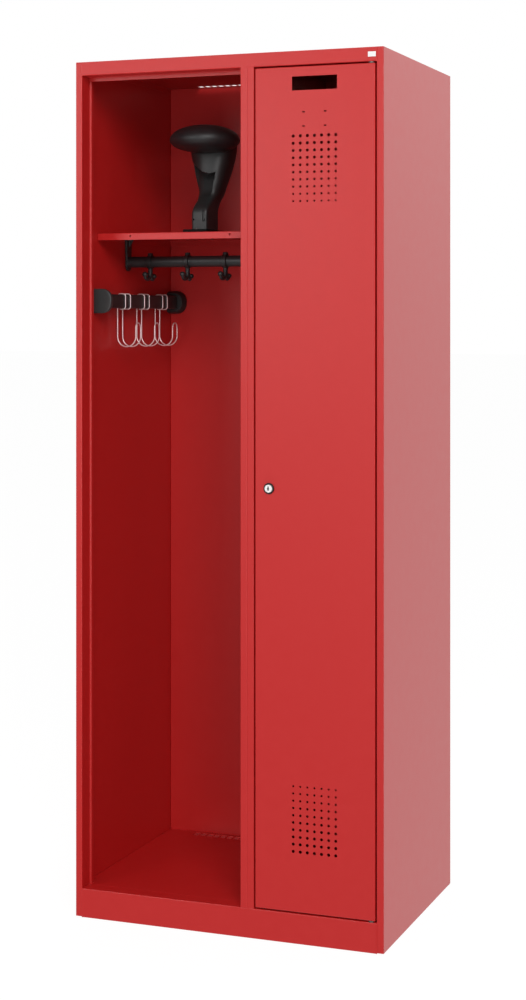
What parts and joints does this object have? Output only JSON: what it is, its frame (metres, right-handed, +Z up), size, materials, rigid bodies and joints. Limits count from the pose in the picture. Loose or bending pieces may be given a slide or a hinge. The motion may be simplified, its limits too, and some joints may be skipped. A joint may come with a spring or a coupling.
{
  "type": "steel equipment locker",
  "caption": "Free-standing steel locker with an open equipment bay beside a narrow bay with a vented, lockable door, hat shelves, sliding coat hooks and a helmet stand.",
  "frame": {"origin": "middle of the footprint at floor level (the underside of the plinth)", "axes": "+X to the right of someone facing the locker, +Y towards its back, +Z up; the door and the open bay face -Y"},
  "size_m": [0.7, 0.5055, 1.85],
  "materials": {
    "red_powder_coat": "satin red powder coat",
    "black_powder_coat": "satin black powder coat",
    "black_plastic": "fine-textured black moulded plastic",
    "chrome": "bright chrome plate",
    "zinc_steel": "zinc-plated steel",
    "black_rubber": "matt black rubber",
    "pale_plate": "plain pale plate, blank"
  },
  "bodies": {
    "cabinet": {"back_panel": "red_powder_coat", "blank_badge": "pale_plate", "clothes_rail_left": "black_powder_coat", "clothes_rail_left_bracket_inner": "black_plastic", "clothes_rail_left_bracket_outer": "black_plastic", "clothes_rail_right": "black_powder_coat", "clothes_rail_right_bracket_inner": "black_plastic", "clothes_rail_right_bracket_outer": "black_plastic", "floor_left": "red_powder_coat", "floor_right": "red_powder_coat", "hat_shelf_left": "red_powder_coat", "hat_shelf_right": "red_powder_coat", "header_rail": "red_powder_coat", "helmet_stand_base": "black_plastic", "helmet_stand_pad": "black_rubber", "helmet_stand_screw_front": "zinc_steel", "helmet_stand_screw_rear": "zinc_steel", "helmet_stand_stem": "black_plastic", "hinge_pin_bottom": "zinc_steel", "hinge_pin_top": "zinc_steel", "left_side_panel": "red_powder_coat", "middle_wall_left": "red_powder_coat", "middle_wall_right": "red_powder_coat", "plinth_front": "red_powder_coat", "plinth_rear": "red_powder_coat", "right_side_panel": "red_powder_coat", "side_rail_bar": "black_plastic", "side_rail_cap_front": "black_plastic", "side_rail_cap_rear": "black_plastic", "top_panel": "red_powder_coat"},
    "door": {"door_panel": "red_powder_coat", "door_stiffener": "red_powder_coat", "hinge_bush_bottom": "black_plastic", "hinge_bush_top": "black_plastic", "door_buffer_side": "black_rubber", "door_buffer_top": "black_rubber", "lock_housing": "black_powder_coat", "lock_nut": "zinc_steel"},
    "lock": {"lock_plug": "chrome", "lock_cam": "zinc_steel", "lock_cam_screw": "zinc_steel"},
    "coat_hook_left_1_slider": {"coat_hook_left_1": "black_plastic"},
    "coat_hook_left_2_slider": {"coat_hook_left_2": "black_plastic"},
    "coat_hook_left_3_slider": {"coat_hook_left_3": "black_plastic"},
    "coat_hook_left_4_slider": {"coat_hook_left_4": "black_plastic"},
    "coat_hook_right_1_slider": {"coat_hook_right_1": "black_plastic"},
    "coat_hook_right_2_slider": {"coat_hook_right_2": "black_plastic"},
    "wire_hook_1_slider": {"wire_hook_1": "chrome"},
    "wire_hook_2_slider": {"wire_hook_2": "chrome"},
    "wire_hook_3_slider": {"wire_hook_3": "chrome"}
  },
  "joints": [
    {"name": "door_swing", "type": "hinge", "parent": "cabinet", "child": "door", "pos_m": [0.3225, -0.2432, 0.0659], "axis": [0, 0, 1], "range_deg": [0, 110]},
    {"name": "lock_turn", "type": "hinge", "parent": "door", "child": "lock", "pos_m": [0.0995, -0.25, 0.9415], "axis": [0, -1, 0], "range_deg": [0, 90]},
    {"name": "coat_hook_left_1_slide", "type": "slide", "parent": "cabinet", "child": "coat_hook_left_1_slider", "axis": [1, 0, 0], "range_m": [-0.03, 0.03]},
    {"name": "coat_hook_left_2_slide", "type": "slide", "parent": "cabinet", "child": "coat_hook_left_2_slider", "axis": [1, 0, 0], "range_m": [-0.03, 0.03]},
    {"name": "coat_hook_left_3_slide", "type": "slide", "parent": "cabinet", "child": "coat_hook_left_3_slider", "axis": [1, 0, 0], "range_m": [-0.03, 0.03]},
    {"name": "coat_hook_left_4_slide", "type": "slide", "parent": "cabinet", "child": "coat_hook_left_4_slider", "axis": [1, 0, 0], "range_m": [-0.03, 0.03]},
    {"name": "coat_hook_right_1_slide", "type": "slide", "parent": "cabinet", "child": "coat_hook_right_1_slider", "axis": [1, 0, 0], "range_m": [-0.03, 0.03]},
    {"name": "coat_hook_right_2_slide", "type": "slide", "parent": "cabinet", "child": "coat_hook_right_2_slider", "axis": [1, 0, 0], "range_m": [-0.03, 0.03]},
    {"name": "wire_hook_1_slide", "type": "slide", "parent": "cabinet", "child": "wire_hook_1_slider", "axis": [0, 1, 0], "range_m": [-0.033, 0.033]},
    {"name": "wire_hook_2_slide", "type": "slide", "parent": "cabinet", "child": "wire_hook_2_slider", "axis": [0, 1, 0], "range_m": [-0.033, 0.033]},
    {"name": "wire_hook_3_slide", "type": "slide", "parent": "cabinet", "child": "wire_hook_3_slider", "axis": [0, 1, 0], "range_m": [-0.033, 0.033]}
  ]
}
